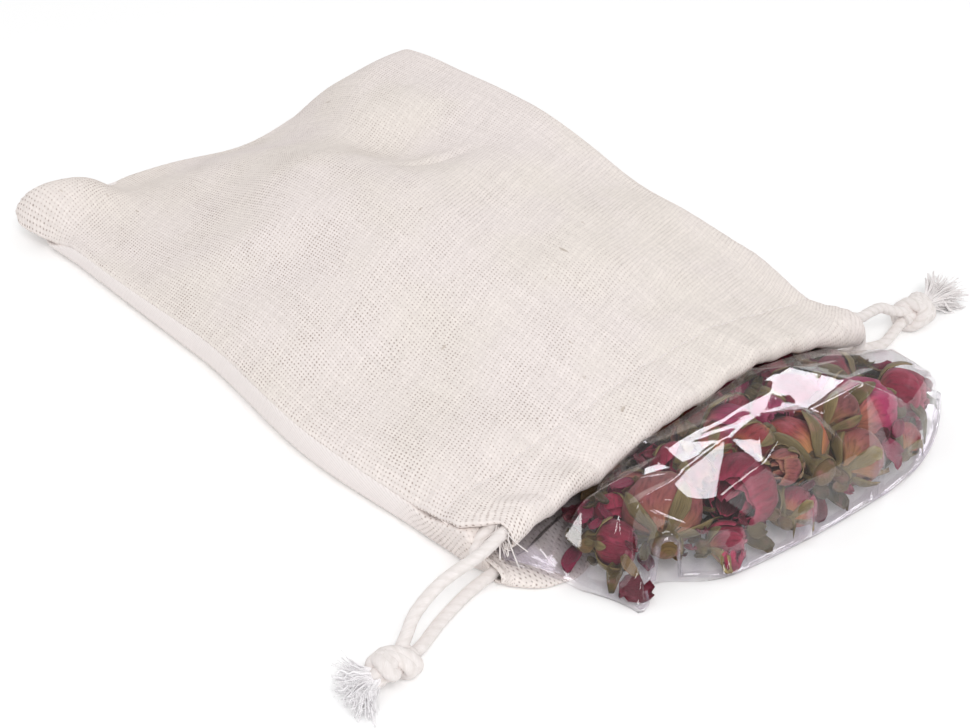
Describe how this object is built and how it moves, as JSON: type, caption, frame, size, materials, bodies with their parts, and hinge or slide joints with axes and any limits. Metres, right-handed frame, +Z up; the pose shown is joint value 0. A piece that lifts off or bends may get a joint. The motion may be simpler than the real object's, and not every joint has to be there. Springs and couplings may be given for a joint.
{
  "type": "potpourri sachet",
  "caption": "Flat drawstring bag of woven cotton lying on its back, its mouth open on a clear film pouch of dried rosebuds, with a knotted, frayed drawcord at each side.",
  "frame": {"origin": "middle of the flat underside of the back panel, where the bag lies on a table", "axes": "+X across the bag to its right side seam, -Y out of the mouth and +Y to the closed end, +Z up"},
  "size_m": [0.1673, 0.1805, 0.0245],
  "materials": {
    "cotton_cloth": "plain-woven natural cotton, matt",
    "cotton_cord": "twisted cotton cord, matt",
    "clear_film": "clear crinkled film, glossy",
    "rose_petals": "dried rose petals, matt",
    "dry_petals": "faded dried petals and calyx, matt"
  },
  "bodies": {
    "bag": {"front_panel": "cotton_cloth", "back_panel": "cotton_cloth", "left_cord_loop": "cotton_cord", "right_cord_loop": "cotton_cord"},
    "sachet": {"pouch_front_film": "clear_film", "pouch_back_film": "clear_film", "rosebud_01": "rose_petals", "rosebud_02": "rose_petals", "rosebud_03": "rose_petals", "rosebud_04": "dry_petals", "rosebud_05": "rose_petals", "rosebud_06": "rose_petals", "rosebud_07": "rose_petals", "rosebud_08": "dry_petals", "rosebud_09": "rose_petals", "rosebud_10": "rose_petals", "rosebud_11": "rose_petals", "rosebud_12": "dry_petals", "rosebud_13": "rose_petals", "rosebud_14": "rose_petals", "rosebud_15": "rose_petals", "rosebud_16": "dry_petals", "rosebud_17": "rose_petals", "rosebud_18": "rose_petals", "rosebud_19": "rose_petals", "rosebud_20": "dry_petals", "rosebud_21": "rose_petals", "rosebud_22": "rose_petals", "rosebud_23": "rose_petals", "rosebud_24": "dry_petals", "rosebud_25": "rose_petals", "rosebud_26": "rose_petals", "rosebud_27": "rose_petals", "rosebud_28": "dry_petals", "rosebud_29": "rose_petals", "rosebud_30": "rose_petals", "rosebud_row_1": "rose_petals", "rosebud_row_2": "rose_petals", "rosebud_row_3": "rose_petals", "rosebud_row_4": "rose_petals", "rosebud_row_5": "rose_petals", "rosebud_row_6": "rose_petals", "rosebud_row_7": "rose_petals", "rosebud_row_8": "rose_petals", "rosebud_row_9": "rose_petals"},
    "left_drawcord": {"left_cord_strand_upper": "cotton_cord", "left_cord_strand_lower": "cotton_cord", "left_knot": "cotton_cord", "left_tassel": "cotton_cord"},
    "right_drawcord": {"right_cord_strand_upper": "cotton_cord", "right_cord_strand_lower": "cotton_cord", "right_knot": "cotton_cord", "right_tassel": "cotton_cord"}
  },
  "joints": [
    {"name": "sachet_slide", "type": "slide", "parent": "bag", "child": "sachet", "axis": [0, -1, 0], "range_m": [0, 0.17]},
    {"name": "left_drawcord_pull", "type": "slide", "parent": "bag", "child": "left_drawcord", "axis": [-0.9579, -0.287, 0], "range_m": [-0.014, 0.01], "deforming": ["left_cord_strand_upper", "left_cord_strand_lower"]},
    {"name": "right_drawcord_pull", "type": "slide", "parent": "bag", "child": "right_drawcord", "axis": [1, 0, 0], "range_m": [-0.006, 0.01], "deforming": ["right_cord_strand_upper", "right_cord_strand_lower"]}
  ]
}
